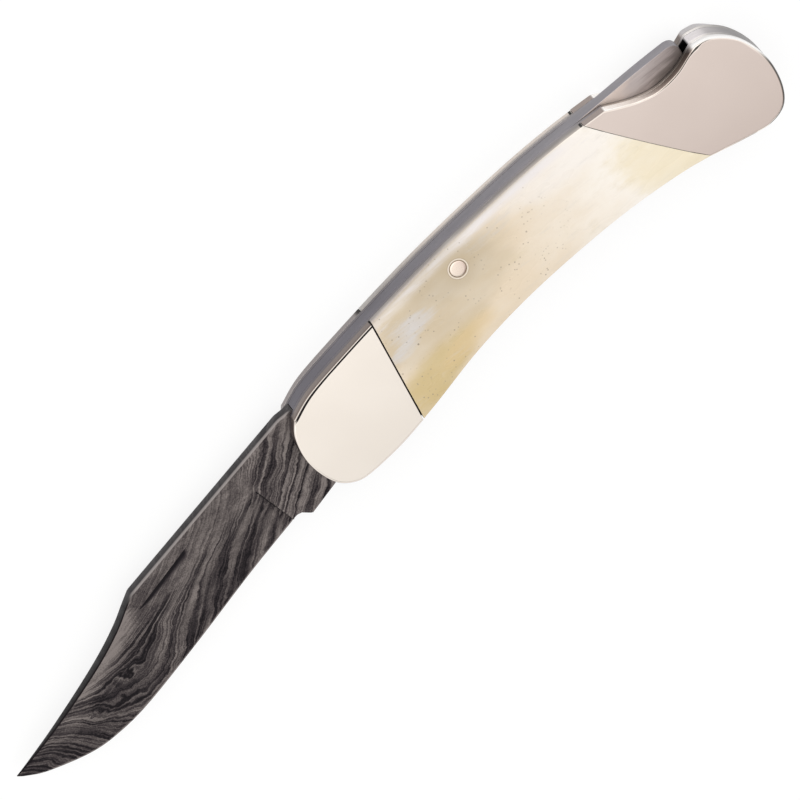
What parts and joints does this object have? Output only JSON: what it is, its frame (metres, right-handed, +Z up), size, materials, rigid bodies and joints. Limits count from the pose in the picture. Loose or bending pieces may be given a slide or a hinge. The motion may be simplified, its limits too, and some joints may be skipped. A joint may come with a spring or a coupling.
{
  "type": "folding pocket knife",
  "caption": "Folding pocket knife with a clip-point etched steel blade, a rocking lock bar along the spine, smooth bone scales and polished bolsters.",
  "frame": {"origin": "on the blade's pivot axis, at the outer flat face of the pile side's front bolster, on which the knife lies", "axes": "+Z up through the handle's thickness towards the nail-nick side, +X from the pivot along the handle to the butt, +Y towards the spine; the open blade points along -X with its edge towards -Y"},
  "size_m": [0.1721, 0.0354, 0.0088],
  "materials": {
    "nickel_silver": "mirror polished nickel silver",
    "bone": "polished smooth bone, cream with tan patches",
    "etched_steel": "acid-etched pattern-welded steel, matt",
    "bar_steel": "satin, brushed lengthwise",
    "spring_steel": "blued spring steel",
    "liner_metal": "satin edges"
  },
  "bodies": {
    "handle": {"mark_liner": "liner_metal", "pile_liner": "liner_metal", "mark_front_bolster": "nickel_silver", "pile_front_bolster": "nickel_silver", "mark_rear_bolster": "nickel_silver", "pile_rear_bolster": "nickel_silver", "mark_scale": "bone", "pile_scale": "bone", "mark_front_upper_rivet": "nickel_silver", "mark_front_lower_rivet": "nickel_silver", "mark_rear_rivet": "nickel_silver", "pile_front_upper_rivet": "nickel_silver", "pile_front_lower_rivet": "nickel_silver", "pile_rear_rivet": "nickel_silver", "rear_spacer": "bar_steel", "lock_spring": "spring_steel", "pivot_pin": "nickel_silver", "upper_butt_pin": "nickel_silver", "lower_butt_pin": "nickel_silver", "rocker_pin": "nickel_silver"},
    "blade": {"blade": "etched_steel"},
    "lock_bar": {"lock_bar": "bar_steel"}
  },
  "joints": [
    {"name": "blade_pivot", "type": "hinge", "parent": "handle", "child": "blade", "pos_m": [0, 0, 0.0044], "axis": [0, 0, 1], "range_deg": [0, 170]},
    {"name": "lock_bar_rock", "type": "hinge", "parent": "handle", "child": "lock_bar", "pos_m": [0.031, 0.0098, 0.0044], "axis": [0, 0, 1], "range_deg": [-4, 0], "stiffness_Nm_per_rad": 4, "springref_deg": 5.73, "deforming": ["lock_spring"]}
  ]
}
